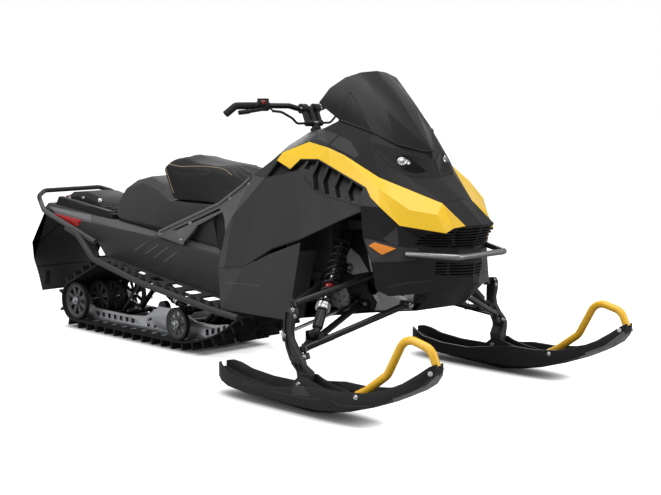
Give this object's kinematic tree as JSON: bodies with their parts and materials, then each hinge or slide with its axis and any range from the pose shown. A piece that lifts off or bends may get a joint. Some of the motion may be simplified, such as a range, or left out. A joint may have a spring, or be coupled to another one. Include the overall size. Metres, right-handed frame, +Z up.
{
  "type": "snowmobile",
  "caption": "Mountain snowmobile with a long lugged track, two steered skis on wishbones, faceted body panels, a narrow seat and hooked handlebars.",
  "frame": {"origin": "centre of the footprint, on the ground under the lugs and skis", "axes": "+X forward, +Y to the rider's left, +Z up"},
  "size_m": [2.9533, 1.217, 1.2013],
  "materials": {
    "track_rubber": "satin",
    "rail_alloy": "satin",
    "wheel_grey": "satin",
    "axle_steel": "satin",
    "black_steel": "satin",
    "tunnel_grey": "satin",
    "bumper_grey": "satin",
    "flap_rubber": "satin",
    "reflector_red": "gloss",
    "lamp_red": "gloss",
    "trim_black": "matte",
    "seat_vinyl": "matte",
    "base_grey": "matte",
    "strut_grey": "satin",
    "panel_black": "satin",
    "panel_grey": "satin",
    "stripe_yellow": "gloss",
    "bright_alloy": "polished",
    "reflector_amber": "gloss",
    "lamp_clear": "gloss",
    "screen_smoke": "gloss",
    "engine_grey": "matte",
    "cast_alloy": "satin",
    "shock_black": "satin",
    "grip_rubber": "matte",
    "cable_black": "satin",
    "spindle_grey": "satin",
    "ski_black": "satin",
    "loop_yellow": "gloss"
  },
  "bodies": {
    "chassis": {"track": "track_rubber", "slide_rails": "rail_alloy", "idler_wheels": "wheel_grey", "track_axles": "axle_steel", "suspension_arms": "black_steel", "tunnel": "tunnel_grey", "running_boards": "tunnel_grey", "rear_bumper": "bumper_grey", "snow_flap": "flap_rubber", "rear_reflectors": "reflector_red", "tail_lamp": "lamp_red", "rear_deck": "trim_black", "seat": "seat_vinyl", "seat_base": "base_grey", "console": "trim_black", "frame_struts": "strut_grey", "side_panels": "panel_black", "lower_panels": "panel_grey", "hood": "panel_black", "hood_stripes": "stripe_yellow", "nose_panel": "panel_black", "nose_pan": "panel_black", "nose_grilles": "trim_black", "belly_pan": "trim_black", "front_bumper": "bright_alloy", "side_reflectors": "reflector_amber", "headlamps": "lamp_clear", "windshield": "screen_smoke", "engine": "engine_grey", "bulkhead": "cast_alloy", "intake_vents": "trim_black", "wishbones": "black_steel", "shocks": "shock_black"},
    "steering": {"handlebar": "black_steel", "grips": "grip_rubber", "bar_controls": "trim_black", "control_cables": "cable_black"},
    "ski_left_body": {"spindle_left": "spindle_grey", "ski_left": "ski_black", "ski_loop_left": "loop_yellow"},
    "ski_right_body": {"spindle_right": "spindle_grey", "ski_right": "ski_black", "ski_loop_right": "loop_yellow"},
    "tie_rod_left_body": {"tie_rod_left": "bright_alloy"},
    "tie_rod_right_body": {"tie_rod_right": "bright_alloy"}
  },
  "joints": [
    {"name": "handlebar_steer", "type": "hinge", "parent": "chassis", "child": "steering", "pos_m": [0.328, 0, 0.985], "axis": [-0.4039, 0, 0.9148], "range_deg": [-35, 35]},
    {"name": "ski_left_steer", "type": "hinge", "parent": "chassis", "child": "ski_left_body", "pos_m": [0.777, 0.535, 0.372], "axis": [-0.348, 0, 0.9375], "range_deg": [-28, 28]},
    {"name": "ski_right_steer", "type": "hinge", "parent": "chassis", "child": "ski_right_body", "pos_m": [0.777, -0.535, 0.372], "axis": [-0.348, 0, 0.9375], "range_deg": [-28, 28]},
    {"name": "tie_rod_left_swing", "type": "hinge", "parent": "ski_left_body", "child": "tie_rod_left_body", "pos_m": [0.7, 0.508, 0.25], "axis": [-0.348, 0, 0.9375], "range_deg": [-28, 28]},
    {"name": "tie_rod_right_swing", "type": "hinge", "parent": "ski_right_body", "child": "tie_rod_right_body", "pos_m": [0.7, -0.508, 0.25], "axis": [-0.348, 0, 0.9375], "range_deg": [-28, 28]}
  ],
  "couplings": [
    {"joint": "ski_left_steer", "follows": "handlebar_steer", "ratio": 0.8},
    {"joint": "ski_right_steer", "follows": "handlebar_steer", "ratio": 0.8},
    {"joint": "tie_rod_left_swing", "follows": "handlebar_steer", "ratio": -0.8},
    {"joint": "tie_rod_right_swing", "follows": "handlebar_steer", "ratio": -0.8}
  ]
}
